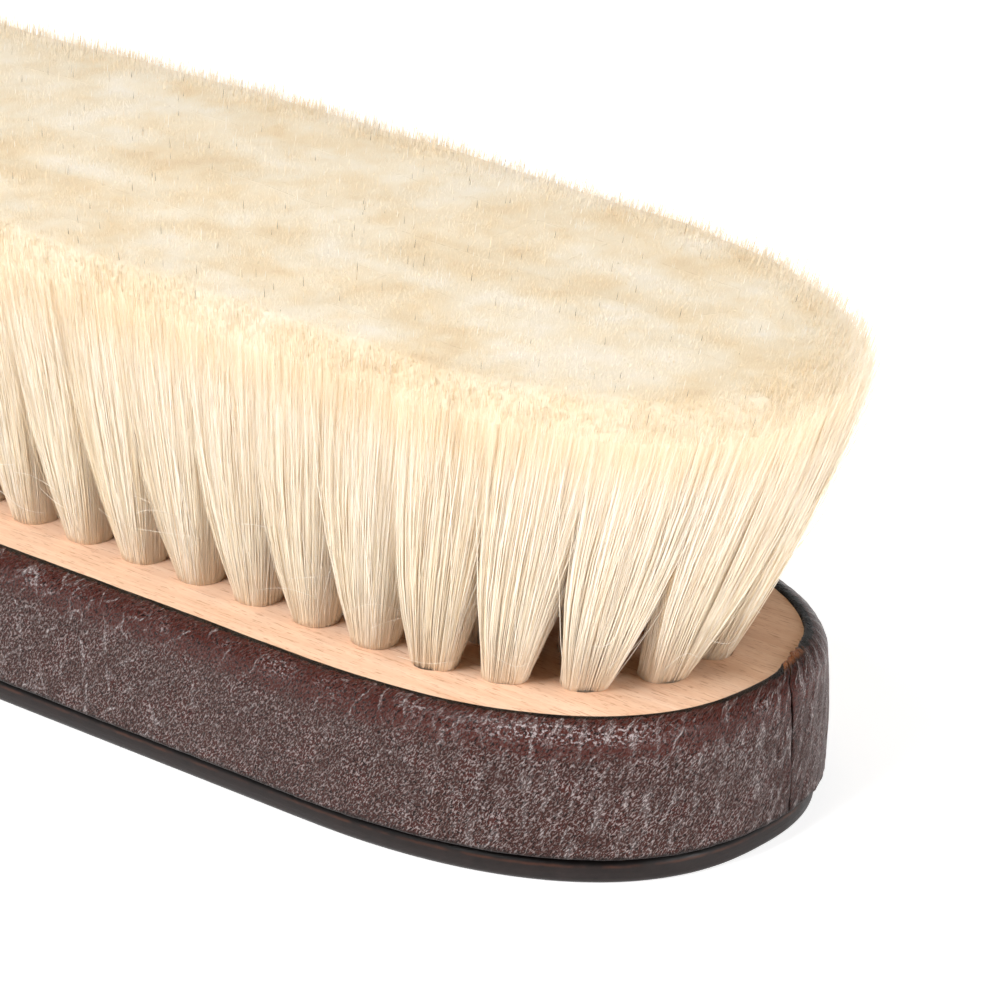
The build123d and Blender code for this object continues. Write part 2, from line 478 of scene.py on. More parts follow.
K_T = 3.1
K_N = {True: 1.25, False: 1.8}
ROOT_R = 2.45


class Field:
    """Every hair as numbers: its tuft, its root in the tuft, its trimmed end, its lock, its bends and its tone."""

    def __init__(self, density):
        step = 1 / math.sqrt(density)
        gx, gy = np.meshgrid(np.arange(-V_LEN, V_LEN, step), np.arange(-V_HALF, V_HALF, step))
        p = np.stack([gx.ravel(), gy.ravel()], 1)
        p += rng.uniform(-0.65, 0.65, p.shape) * step
        p = p[v_edge(p) < 0.999]
        p = p[rng.permutation(len(p))]
        d2 = (p[:, None, 0] - TUFT_XY[None, :, 0]) ** 2 + (p[:, None, 1] - TUFT_XY[None, :, 1]) ** 2
        self.tid = tid = np.argmin(d2, 1)
        self.p, N = p, len(p)
        self.edge = v_edge(p)
        self.c = c = TUFT_XY[tid]
        off = (p - c) / np.array([4.3, 4.35])
        off /= np.maximum(1.0, np.abs(off).max(1))[:, None]
        a, b = off[:, 0], off[:, 1]
        self.disc = disc = np.stack([a * np.sqrt(1 - b * b / 2), b * np.sqrt(1 - a * a / 2)], 1)
        self.cen_top = np.stack(top_map(c[:, 0], c[:, 1]), 1)
        lean = self.cen_top - c
        ln = np.linalg.norm(lean, axis=1, keepdims=True)
        self.n = np.where(ln > 0.3, lean / np.maximum(ln, 1e-6), np.array([[0.0, 1.0]]))
        TX, TY = top_map(p[:, 0], p[:, 1])
        self.tip = np.stack([TX, TY], 1)
        # most hairs of the outer layer stay on the tuft's skin until they near the trimmed face
        size = np.linalg.norm(disc, axis=1)
        grow = np.where((size > 0.80) & (rng.random(N) < 0.88), (0.95 + 0.25 * (size - 0.80)) / np.maximum(size, 0.01), 1.0)
        grow[v_edge(c + (p - c) * grow[:, None]) > 0.998] = 1.0
        skin = grow > 1.0
        q = c + (p - c) * grow[:, None]
        self.skin_tip = np.stack(top_map(q[:, 0], q[:, 1]), 1)
        self.root = root = stretched(disc * grow[:, None], self.n, ln) * ROOT_R
        self.stray = rng.normal(0, 0.45, (N, 2))
        # some hairs cross over their neighbours
        cross = rng.random(N) < 0.16
        self.stray[cross] += rng.normal(0, 1.3, (cross.sum(), 2))
        radial = disc / np.maximum(size, 0.05)[:, None]
        self.stray -= radial * ((self.stray * radial).sum(1) * np.where(skin, 0.88, 0.0))[:, None]
        # hairs of one tuft gather in small locks part of the way up
        self.lock_r, self.lock_t = np.zeros((N, 2)), np.zeros((N, 2))
        for t in range(len(tufts)):
            for part, many in ((skin, 60), (~skin, 46)):
                m = np.where((tid == t) & part)[0]
                o = m[rng.choice(len(m), min(many, len(m)), replace=False)]
                k = o[np.argmin(((disc[m][:, None] - disc[o][None]) ** 2).sum(2), 1)]
                self.lock_r[m] = root[k]
                self.lock_t[m] = self.skin_tip[k] - self.cen_top[m]
        self.lock_w = np.where(skin, rng.uniform(0.0, 0.12, N), rng.uniform(0.05, 0.34, N))
        rim = np.clip((self.edge - 0.78) / 0.22, 0, 1)
        far = v_far(p)
        self.z = face_height(self.tip, off, rim, far)
        self.rim = rim
        self.z += rng.normal(0, 1, N) * (0.09 + 0.72 * rim) + (0.2 + 0.4 * far) * rim
        low = rng.random(N) < 0.10
        self.z[low] -= rng.exponential(1.6, low.sum())
        tall = rng.random(N) < 0.006
        self.z[tall] += rng.uniform(0.3, 1.2, tall.sum())
        self.ph = rng.uniform(0, 2 * math.pi, (N, 2, 1))
        self.a1 = rng.normal(0, 0.16, (N, 2, 1))
        self.a2 = rng.normal(0, 0.11, (N, 2, 1))
        for a in (self.a1, self.a2):
            a[:, :, 0] -= radial * ((a[:, :, 0] * radial).sum(1) * np.where(skin, 0.8, 0.0))[:, None]
        # tone: random patches and spread, and a little darker towards each tuft's border as painted shade between the
        # tufts
        tone = 0.38 + 0.12 * smooth_noise(self.tip, 8.0, 31) + 0.05 * ((off ** 2).sum(1) - 0.7) + rng.normal(0, 0.09, N)
        tip_tone = face_tone(self.tip, self.edge, far) + rng.normal(0, 0.05, N)
        roll = rng.random(N)
        some = roll < 0.03
        tip_tone[some] = rng.uniform(0.7, 0.92, some.sum())
        white = (roll > 0.03) & (roll < 0.033)
        tip_tone[white] = 0.0
        dark = (roll > 0.04) & (roll < 0.0414)
        self.z[white | dark] += rng.uniform(0.25, 0.8, (white | dark).sum())
        tone, tip_tone = np.clip(tone, 0.01, 0.93), np.clip(tip_tone, 0.01, 0.93)
        tone[dark] = tip_tone[dark] = rng.uniform(0.96, 0.99, dark.sum())
        self.tone, self.tip_tone = tone, tip_tone
        self.rad = rng.uniform(0.037, 0.054, N) * np.where(skin, 0.70, 1.0)

    def cols(self, m, tau):
        """Column of the colour strip at each height of the hairs m: palest a little below the trimmed face, as painted
        light on the upper side.
        """
        tau = np.asarray(tau)
        w, pale = rise(tau, 0.76, 1.0)[None], 0.15 * rise(tau, 0.30, 0.78)[None]
        return np.clip((self.tone[m][:, None] - pale) * (1 - w) + self.tip_tone[m][:, None] * w, 0.005, None)

    def radii(self, m, tau):
        """Hairs thin out towards their ends, most of all at the border of the face."""
        tau = np.asarray(tau)[None]
        end = (0.75 - 0.30 * self.rim[m])[:, None]
        return self.rad[m][:, None] * (1 - 0.15 * tau) * (1 - (1 - end) * np.clip((tau - 0.6) / 0.4, 0, 1) ** 1.5)

    def path(self, m, tau, k_n=1.25, k_t=None):
        """Points of the hairs m at the heights tau."""
        k_t = K_T if k_t is None else k_t
        tau = np.asarray(tau)[None, :, None]
        c, n, ct = self.c[m][:, None], self.n[m][:, None], self.cen_top[m][:, None]
        z_end = self.z[m][:, None, None]
        w = rise(tau, 0.74, 1.0)
        end = self.skin_tip[m][:, None] * (1 - w) + self.tip[m][:, None] * w
        xy, z = tuft_path(c, n, ct, self.root[m][:, None], end - ct, z_end, tau, k_n, k_t)
        lock = tuft_path(c, n, ct, self.lock_r[m][:, None], self.lock_t[m][:, None], z_end, tau, k_n, k_t)[0]
        w = self.lock_w[m][:, None, None] * np.sin(np.pi * np.clip(tau, 0, 1) ** 0.8)
        xy = xy + (lock - xy) * w + self.stray[m][:, None] * tau ** 1.5
        ph, a1, a2 = (np.moveaxis(q[m], 2, 1) for q in (self.ph, self.a1, self.a2))
        bend = a1 * (np.sin(math.pi * tau * 1.3 + ph) - np.sin(ph)) + a2 * (np.sin(4.2 * math.pi * tau + ph * 1.7) - np.sin(ph * 1.7))
        xy = xy + bend * tau ** 0.7 * (1 - 0.6 * tau)
        return np.concatenate([xy, z], 2)


FULL = np.array([0.0, 0.05, 0.12, 0.22, 0.37, 0.57, 0.78, 0.98, 1.0])
CORE = np.array([0.0, 0.14, 0.36, 0.68, 0.98, 1.0])
TIPS = np.array([0.88, 0.984, 1.0])


def strays(F, g_tufts):
    """Loose hairs on the outward skin of the outer tufts: bowed, cut short, or lying across."""
    out = []
    for t in g_tufts:
        if not TUFT_OUTER[t]:
            continue
        m = np.where(F.tid == t)[0]
        face = (F.disc[m] * F.n[m]).sum(1)
        m = m[face > 0.80]
        m = m[rng.choice(len(m), 14, replace=False)]
        n = F.n[m]
        tan = np.stack([-n[:, 1], n[:, 0]], 1)
        tau = np.linspace(0, 1, 9)
        end = rng.uniform(0.25, 0.95, len(m))
        P = np.stack([F.path(m[i:i + 1], tau * end[i])[0] for i in range(len(m))])
        side = rng.normal(0, 2.3, len(m)) * end
        out_by = rng.uniform(0.15, 1.3, len(m)) * end
        bow = np.sin(np.pi * tau * rng.uniform(0.6, 1.15, len(m))[:, None])
        P[:, :, :2] += tan[:, None] * (side[:, None] * (tau ** 1.6 + 0.4 * bow * tau))[..., None]
        P[:, :, :2] += n[:, None] * (out_by[:, None] * (0.4 * bow + 0.5 * tau))[..., None]
        P[:, :, 2] -= 0.25 * np.abs(side)[:, None] * tau ** 2
        # the first two lie across from tuft to tuft
        for i in range(2):
            z = WOOD_TOP + rng.uniform(0.6, 12)
            at = F.path(m[i:i + 1], np.array([(z - Z_ROOT) / (HAIR_TOP - Z_ROOT)]))[0, 0]
            sgn = rng.choice([-1, 1])
            ln, rise, arc = rng.uniform(3, 7.5), rng.normal(0.6, 1.6), rng.uniform(-1.2, 1.6)
            q = np.linspace(-0.15, 1, 9)
            P[i, :, :2] = at[:2] + tan[i] * sgn * (q * ln)[:, None] + n[i] * (0.25 + 0.9 * np.sin(np.pi * np.clip(q, 0, 1)) * rng.uniform(0.2, 1))[:, None]
            P[i, :, 2] = np.maximum(at[2] + rise * q + arc * np.sin(np.pi * q), WOOD_TOP + 0.08)
        R = np.full((len(m), 9), 0.030) * (1 - 0.5 * tau ** 2)
        out.append(tube_arrays(P, R, rng.uniform(0.02, 0.2, (len(m), 1)), np.linspace(0.4, 1, 9)))
    return out


def hair():
    F = Field(34.0)
    size = np.linalg.norm(F.disc, axis=1)
    face = (F.disc * F.n).sum(1) / np.maximum(size, 0.1)
    roll = rng.random(len(F.tid))
    outer = TUFT_OUTER[F.tid]
    full = outer & (size > 0.80) & (face > -0.7) | (F.edge > 0.93)
    full |= ~outer & (size > 0.80) & (np.abs(F.c[:, 1]) > 4) & (face > -0.2) & (roll < 0.5)
    keep = full | (roll < 0.85)
    pieces, count = [], []
    for g in sorted(set(TUFT_GROUP)):
        ts = [i for i, n in enumerate(TUFT_GROUP) if n == g]
        batches = []
        for t in ts:
            mine = F.tid == t
            a, b = np.where(mine & full)[0], np.where(mine & ~full & keep)[0]
            tau = FULL if TUFT_OUTER[t] else CORE
            k_n = K_N[TUFT_OUTER[t]]
            batches.append(tube_arrays(F.path(a, tau, k_n), F.radii(a, tau) * (1.0 if TUFT_OUTER[t] else 1.15), F.cols(a, tau), tau))
            batches.append(tube_arrays(F.path(b, TIPS, k_n), F.radii(b, TIPS), F.cols(b, TIPS), TIPS))
            batches.append(core_arrays(t))
        batches += strays(F, ts)
        o = strand_mesh(g + "_strands", batches)
        count.append(len(o.data.polygons))
        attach(o, "root")
        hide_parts(g)
        pieces.append(o)
    print("hair faces", sum(count), "largest piece", max(count))
    return pieces


def hair_material():
    n = Nodes("goat_hair")
    uv = n.add("ShaderNodeUVMap", uv_map="strand")
    sep = n.add("ShaderNodeSeparateXYZ")
    n.link(uv.outputs[0], sep.inputs[0])
    col = n.math("DIVIDE", n.math("FLOOR", n.math("MULTIPLY", sep.outputs[0], 128.0)), 128.0)
    v = sep.outputs[1]
    tone = n.ramp(col, [
        (0.0, (0.985, 0.93, 0.84)), (0.2, (0.975, 0.892, 0.765)), (0.45, (0.942, 0.828, 0.645)),
        (0.7, (0.895, 0.735, 0.51)), (0.94, (0.80, 0.60, 0.38)), (1.0, (0.80, 0.60, 0.38))])
    # painted shade: the hairs are darker and browner towards their roots, down among the tufts
    root = n.range(v, 0.0, 0.34, 1.0, 0.0, smooth=True)
    tone = n.mix(n.math("MULTIPLY", root, 0.32), tone, (0.74, 0.60, 0.45), "MIX")
    dark = n.math("MULTIPLY", n.range(v, 0.90, 0.98, 0.0, 1.0), n.range(col, 0.95, 0.952))
    tone = n.mix(dark, tone, (0.16, 0.11, 0.07))
    n.set(Base_Color=tone, Roughness=0.62)
    n.set(Specular_IOR_Level=0.18)
    return n.mat


hair_mat = hair_material()
for o in hair():
    assign(o, hair_mat)


# ------------------------------------------------------------------ leather wrap
def lay(q, angle, long, short, seed, octaves=2):
    """Noise drawn out along a slant of the strip: angle in degrees, long and short cell sizes in mm."""
    a = math.radians(angle)
    u = (q[:, 0] * math.cos(a) + q[:, 1] * math.sin(a)) / long
    v = (-q[:, 0] * math.sin(a) + q[:, 1] * math.cos(a)) / short
    return smooth_noise(np.stack([u, v], 1), 1.0, seed, octaves)


def wrap():
    path = closed_outline(0.0)
    seg = np.linalg.norm(np.diff(path, axis=0), axis=1)
    s = np.concatenate([[0], np.cumsum(seg)])
    total = s[-1]
    s_seam = s[np.argmin(np.abs(path[:800, 1] - 3.3))]
    M = 1480
    gap = 0.10
    ss = np.linspace(gap, total - gap, M)

    def along(sa, col):
        return np.interp(sa % total, s, path[:, col])

    z0, z1 = PLATE_T + WRAP_GAP, WOOD_TOP + WRAP_PROUD
    rb, rt = 0.3, 2.05
    prof = []                                     # (inset, z)
    for t in np.linspace(0, 1, 4):
        a = math.pi / 2 * t
        prof.append((rb - rb * math.sin(a), z0 + rb - rb * math.cos(a)))
    for z in np.linspace(z0 + rb, z1 - rt, 42)[1:-1]:
        prof.append((0, z))
    for t in np.linspace(0, 1, 14):
        a = math.pi / 2 * t
        prof.append((rt - rt * math.cos(a), z1 - rt + rt * math.sin(a)))
    prof += [(WRAP_T - 0.22, z1 - 0.02), (WRAP_T - 0.08, z1 - 0.10), (WRAP_T, z1 - 0.30), (WRAP_T, z1 - 1.2),
             (WRAP_T, z0 + 1.5), (WRAP_T, z0)]
    prof = np.array(prof)
    K = len(prof)
    girth = np.concatenate([[0], np.cumsum(np.hypot(np.diff(prof[:, 0]), np.diff(prof[:, 1])))])
    I, Z = np.broadcast_to(prof[:, 0], (M, K)), np.broadcast_to(prof[:, 1], (M, K))
    S = np.broadcast_to(ss[:, None], (M, K))
    outer = np.clip(1.15 - I / 1.9, 0, 1)
    q = np.stack([S.ravel(), Z.ravel()], 1)

    def grid(v):
        return v.reshape(M, K)

    hgt = np.clip((Z - z0) / (z1 - z0), 0, 1)
    swell = 0.16 * grid(smooth_noise(q * [1, 0.6], 24.0, 51)) + 0.07 * grid(smooth_noise(q, 5.0, 52))
    swell = swell * np.clip(0.25 + hgt * 3, 0, 1) + 0.24 * np.sin(np.pi * hgt ** 0.9)
    # creases on two slants, in patches
    patch = np.clip(0.55 + 0.9 * grid(smooth_noise(q * [1, 0.5], 15.0, 57)), 0.12, 1)
    c1 = 1 - np.abs(grid(lay(q, 56, 7.0, 1.15, 58)) * 2.2)
    c2 = 1 - np.abs(grid(lay(q, 118, 6.0, 1.5, 60)) * 2.4)
    crease = (0.075 * np.clip(c1, 0, 1) ** 1.5 + 0.045 * np.clip(c2, 0, 1) ** 2) * patch
    fine = 0.022 * grid(lay(q, 50, 1.6, 0.75, 62))
    # upright stretch folds beside the seam, running aslant
    near = np.exp(-np.minimum(S * 0.8, (total - S) * 1.0) / 8.0) * (1 - 0.6 * np.exp(-(np.minimum(S, total - S) / 1.2) ** 2))
    slope = S - 0.42 * (Z - z0)
    folds = near * (0.19 * grid(smooth_noise(np.stack([(slope * 1.0).ravel(), (Z * 0.08).ravel()], 1), 0.95, 54))
                    + 0.11 * np.sin(slope * 2.3 + 1.6 * grid(smooth_noise(q, 4.0, 64))))
    d = (swell + crease + fine + folds) * outer
    # the cut edge of the strip is a little ragged, above and below
    rag = smooth_noise(np.stack([ss, 0 * ss], 1), 1.1, 55)[:, None]
    inner = np.clip((I - 1.6) / 0.8, 0, 1) * (Z > z1 - 1.5)
    top = 0.10 * smooth_noise(np.stack([ss, 0 * ss], 1), 9.0, 56)[:, None] * np.clip((Z - z1 + 3) / 3, 0, 1)
    low = 0.05 * smooth_noise(np.stack([ss, 0 * ss], 1), 2.2, 65)[:, None] * np.clip((z0 + 1.2 - Z) / 1.2, 0, 1)
    low += 0.07 * (smooth_noise(np.stack([ss, 0 * ss], 1), 14.0, 66)[:, None] - 0.6) * np.clip((z0 + 3 - Z) / 3, 0, 1)
    # notch where the two ends part at the rim, and the butted edges turned in along the seam
    dist = np.minimum(S, total - S)
    part = np.exp(-(dist / 0.28) ** 2)
    d = d - 0.07 * part * outer
    # the seam is upright on the side and runs off aslant over the shoulder, where its ends part a little
    over = np.clip((np.broadcast_to(girth, (M, K)) - 14.6) / 3.8, 0, 1)
    shift = 8.2 * over ** 1.4 * np.exp(-(dist / 15.0) ** 2)
    shift = shift + np.where(S < total / 2, 1, -1) * np.exp(-(dist / 2.0) ** 2) * 0.5 * over ** 2
    # past the seam the strip's top edge is thick and torn, and lies a little over the wood
    torn = np.exp(-((S - 1.5) / 6.5) ** 2) + np.exp(-((total - S - 0.5) / 2.2) ** 2) * 0.8
    torn = np.clip(torn, 0, 1) * (0.75 + 0.45 * rag + 0.3 * smooth_noise(np.stack([ss, 0 * ss], 1), 0.5, 67)[:, None])
    flap = np.clip((I - 1.2) / 1.0, 0, 1) * (Z > WOOD_TOP + 0.02)
    off = -I + d + 0.16 * rag * inner - 0.95 * torn * flap
    sa = S + s_seam + shift
    tx, ty = along(sa + 0.2, 0) - along(sa - 0.2, 0), along(sa + 0.2, 1) - along(sa - 0.2, 1)
    l = np.hypot(tx, ty)
    X = along(sa, 0) + ty / l * off
    Y = along(sa, 1) - tx / l * off
    V = np.stack([X, Y, Z + top + low + 0.07 * rag * inner + 0.10 * torn * flap], 2).reshape(-1, 3)
    i, j = np.meshgrid(np.arange(M - 1), np.arange(K), indexing="ij")
    jn = (j + 1) % K
    quads = np.stack([i * K + j, (i + 1) * K + j, (i + 1) * K + jn, i * K + jn], 2).reshape(-1, 4)
    me = bpy.data.meshes.new("side_wrap_leather")
    faces = [tuple(f) for f in quads] + [tuple(range(K)), tuple(range((M - 1) * K, M * K))[::-1]]
    me.from_pydata([tuple(v) for v in V * MM], [], faces)
    me.validate()
    me.polygons.foreach_set("use_smooth", np.ones(len(me.polygons), bool))
    obj = bpy.data.objects.new("side_wrap_leather", me)
    scene.collection.objects.link(obj)
    # strip coordinates for the grain: x along the strip, y round its section from the bottom edge, in mm / 100
    uv = np.stack([S.ravel(), np.broadcast_to(girth, (M, K)).ravel()], 1) * 0.01
    lv = np.zeros(len(me.loops), np.int32)
    me.loops.foreach_get("vertex_index", lv)
    me.uv_layers.new(name="strip").data.foreach_set("uv", uv[lv].astype(np.float32).ravel())
    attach(obj, "root")
    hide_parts("side_wrap")
    return obj, total, girth[-1]


wrap_obj, WRAP_LEN, WRAP_GIRTH = wrap()


def leather_material():
    n = Nodes("wrap_leather")
    uv = n.add("ShaderNodeUVMap", uv_map="strip")
    p = n.vmath("SCALE", uv.outputs[0], None, 100.0)       # mm along the strip, mm round its section
    sep = n.add("ShaderNodeSeparateXYZ")
    n.link(p, sep.inputs[0])
    g = sep.outputs[1]                                     # 0 bottom edge .. 13.6 shoulder begins .. 16.8 its top .. 17.3 cut edge
    wob = n.add("ShaderNodeTexNoise", noise_dimensions="3D")
    n.link(p, wob.inputs["Vector"])
    wob.inputs["Scale"].default_value = 0.45
    wob.inputs["Detail"].default_value = 2.0
    shift = n.vmath("SCALE", n.vmath("SUBTRACT", wob.outputs["Color"], (0.5, 0.5, 0.5)), None, 0.5)
    pw = n.vmath("ADD", p, shift)

    def slanted(angle, along, across):
        """Coordinates turned so that x runs along a slant of the strip, squeezed to cells along x across mm."""
        turned = n.mapping(pw, (1, 1, 1), (0, 0, -math.radians(angle)))
        return n.vmath("MULTIPLY", turned, (1 / along, 1 / across, 1.0))

    # grain: short slanted strokes with crowns, where highlights are painted, and hollows between them, where shade is
    # painted
    strokes = n.range(n.noise(slanted(50, 0.50, 0.21), 1.0, 1.0, 0.5), 0.56, 0.65, 0.0, 1.0, smooth=True)
    small = n.range(n.noise(n.mapping(slanted(62, 0.30, 0.17), loc=(17, 5, 0)), 1.0, 1.0, 0.5), 0.55, 0.66, 0.0, 1.0, smooth=True)
    hollow = n.range(n.noise(n.mapping(slanted(44, 0.46, 0.22), loc=(3, 29, 0)), 1.0, 1.0, 0.5), 0.48, 0.38, 0.0, 1.0, smooth=True)
    crown = n.math("MAXIMUM", strokes, n.math("MULTIPLY", small, 0.75))

    def lines(angle, every, loc, wide, wander):
        """A family of thin broken lines along a slant: 1 on a line."""
        q = n.mapping(p, (1, 1, 1), (0, 0, -math.radians(angle)), loc)
        part = n.add("ShaderNodeSeparateXYZ")
        n.link(q, part.inputs[0])
        drift = n.math("MULTIPLY", n.math("SUBTRACT", n.noise(q, 0.33, 2.0, 0.5), 0.5), wander)
        v = n.math("FRACT", n.math("ADD", n.math("DIVIDE", part.outputs[1], every), drift))
        near = n.math("ABSOLUTE", n.math("SUBTRACT", v, 0.5))
        broken = n.range(n.noise(n.vmath("MULTIPLY", q, (0.30, 0.55, 1.0)), 1.0, 2.0, 0.6), 0.47, 0.60)
        return n.math("MULTIPLY", n.range(near, wide / every / 2, wide / every, 1.0, 0.0, smooth=True), broken)

    s = sep.outputs[0]
    before = n.math("SUBTRACT", WRAP_LEN, s)                # mm back from the seam, along the near side
    cross = n.math("MAXIMUM", n.range(n.math("ABSOLUTE", n.math("SUBTRACT", before, 96.0)), 24.0, 8.0),
                   n.range(n.noise(n.mapping(p, loc=(31, 7, 0)), 0.05, 1.0), 0.52, 0.62))
    upright = n.range(n.math("MINIMUM", before, s), 56.0, 32.0)
    l1 = n.math("MULTIPLY", lines(93, 3.3, (0, 0.4, 0), 0.22, 1.0), cross)
    l2 = n.math("MULTIPLY", lines(37, 3.6, (5, 0.9, 0), 0.22, 1.0), cross)
    l3 = n.math("MULTIPLY", lines(52, 2.9, (9, 1.7, 0), 0.20, 1.5), 0.7)
    l4 = n.math("MULTIPLY", lines(84, 2.6, (3, 2.2, 0), 0.42, 1.1), n.math("MULTIPLY", upright, 0.75))
    l5 = n.math("MULTIPLY", lines(62, 1.7, (13, 0.2, 0), 0.20, 1.4), n.math("MULTIPLY", upright, 0.8))
    crease = n.math("MAXIMUM", n.math("MAXIMUM", l1, l2), n.math("MAXIMUM", n.math("MAXIMUM", l3, l4), l5))
    aside = n.math("MINIMUM", s, before)
    big = n.noise(p, 0.13, 3.0, 0.6)
    mid = n.noise(p, 0.7, 3.0, 0.6)
    shoulder = n.range(n.math("MULTIPLY_ADD", mid, 4.2, g), 12.8, 15.0, 0.0, 1.0, smooth=True)
    # red brown flats, near black hollows as painted shade, grey crowns as painted highlights, more of them along the
    # creases
    flat = n.mix(n.range(big, 0.40, 0.60), (0.037, 0.0120, 0.0090), (0.044, 0.0170, 0.0135))
    red = n.range(n.noise(p, 0.30, 3.0, 0.6), 0.50, 0.64, 0.0, 0.8)
    flat = n.mix(red, flat, (0.046, 0.0085, 0.0058))
    flat = n.mix(n.math("MULTIPLY", shoulder, 0.9), flat, (0.058, 0.0125, 0.0085))
    base = n.mix(n.math("MULTIPLY", hollow, 0.95), flat, (0.006, 0.0020, 0.0016))
    sheen_and_wear = n.range(n.noise(p, 0.30, 3.0, 0.6), 0.36, 0.62, 0.42, 0.95)
    sheen_and_wear = n.math("MULTIPLY", sheen_and_wear, n.math("SUBTRACT", 1.0, n.math("MULTIPLY", shoulder, 0.75)))
    sheen_and_wear = n.math("MULTIPLY", sheen_and_wear, n.range(aside, 0.8, 5.0, 0.30, 1.0))
    sheen_and_wear = n.math("MAXIMUM", sheen_and_wear, n.math("MULTIPLY", crease, 1.0))
    base = n.mix(n.math("MULTIPLY", crown, sheen_and_wear), base, (0.262, 0.210, 0.202))
    # a crease is a chain of brighter crowns: partly real pale wear, partly painted highlight
    chain = n.math("MULTIPLY", crease, n.math("MULTIPLY_ADD", crown, 0.66, 0.20))
    base = n.mix(chain, base, (0.36, 0.32, 0.315))
    # painted glints: small bright highlight spots in clusters on the bend of the shoulder
    band = n.math("MULTIPLY", n.range(g, 12.8, 13.8), n.range(g, 15.7, 15.1))
    cluster = n.math("MAXIMUM", n.range(n.noise(n.mapping(p, loc=(5, 3, 0)), 0.16, 2.0, 0.6), 0.50, 0.62, 0.0, 0.8),
                     n.range(n.math("ABSOLUTE", n.math("SUBTRACT", before, 27.0)), 13.0, 6.0))
    painted_glints = n.math("MULTIPLY", n.math("MULTIPLY", band, cluster), n.range(n.noise(n.mapping(p, (1.0, 1.3, 1.0)), 2.4, 3.0, 0.6), 0.53, 0.62))
    base = n.mix(n.math("MULTIPLY", painted_glints, 0.72), base, (0.46, 0.40, 0.40))
    ragged = n.math("MULTIPLY_ADD", n.math("SUBTRACT", n.noise(p, 1.0, 2.0, 0.6), 0.5), 1.2, g)
    rim = n.range(ragged, 16.15, 16.35, 0.0, 1.0)
    base = n.mix(rim, base, (0.006, 0.004, 0.0035))
    foot = n.range(n.math("MULTIPLY_ADD", n.noise(p, 0.9, 2.0), 0.8, g), 1.25, 0.7, 0.0, 0.9)
    base = n.mix(foot, base, (0.008, 0.005, 0.0045))
    # the butted edges, and raw fibres where the two ends part at the rim
    seam = n.range(n.math("MULTIPLY_ADD", n.noise(p, 2.0, 2.0), 0.20, aside), 0.36, 0.18)
    base = n.mix(n.math("MULTIPLY", seam, 0.45), base, (0.014, 0.005, 0.004))
    fray = n.math("MULTIPLY_ADD", n.noise(p, 1.2, 3.0, 0.6), 3.4, n.math("MINIMUM", n.math("MULTIPLY", s, 0.55), n.math("MULTIPLY", before, 2.0)))
    fray = n.math("MULTIPLY", n.range(fray, 4.4, 3.8), n.range(g, 16.2, 16.6))
    base = n.mix(n.math("MULTIPLY", fray, 0.95), base, (0.34, 0.125, 0.045))
    b = n.bump(n.math("SUBTRACT", crown, n.math("MULTIPLY", hollow, 0.8)), 0.8, 0.00007)
    b = n.bump(crease, 0.6, 0.00010, b)
    rough = n.math("SUBTRACT", n.range(mid, 0.3, 0.7, 0.50, 0.38), n.math("MULTIPLY", shoulder, 0.14))
    n.set(Base_Color=base, Roughness=rough, Normal=b)
    n.set(Specular_IOR_Level=0.13)
    return n.mat


assign(wrap_obj, leather_material())


# ------------------------------------------------------------------ wood
def wood_material():
    n = Nodes("beech")
    p = n.object_coords()
    long = n.mapping(p, (0.06, 1.0, 1.0))
    tone = n.noise(long, 0.35, 4.0, 0.6)
    ring = n.noise(n.mapping(p, (0.025, 0.9, 0.9)), 0.8, 4.0, 0.6)
    base = n.ramp(tone, [(0.3, (0.78, 0.505, 0.345)), (0.52, (0.855, 0.595, 0.43)), (0.72, (0.90, 0.67, 0.52))])
    base = n.mix(n.range(ring, 0.46, 0.64, 0.0, 0.55), base, (0.75, 0.46, 0.30))
    streak = n.range(n.noise(n.mapping(p, (0.05, 3.2, 3.2), loc=(4, 11, 2)), 1.0, 3.0, 0.6), 0.56, 0.72)
    base = n.mix(n.math("MULTIPLY", streak, 0.55), base, (0.66, 0.37, 0.22))
    fleck = n.range(n.noise(n.mapping(p, (0.40, 3.6, 3.6)), 1.5, 1.0, 0.4), 0.63, 0.70)
    base = n.mix(n.math("MULTIPLY", fleck, 0.65), base, (0.50, 0.25, 0.14))
    pores = n.range(n.noise(n.mapping(p, (0.6, 6.5, 6.5), loc=(7, 3, 1)), 1.3, 1.0, 0.4), 0.60, 0.68)
    base = n.mix(n.math("MULTIPLY", pores, 0.42), base, (0.62, 0.35, 0.21))
    fine = n.noise(n.mapping(p, (0.5, 8.0, 8.0)), 2.0, 2.0, 0.5)
    n.set(Base_Color=base, Roughness=0.62, Normal=n.bump(fine, 0.25, 0.00008))
    n.set(Specular_IOR_Level=0.25)
    return n.mat


assign(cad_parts["bristle_stock"], wood_material())


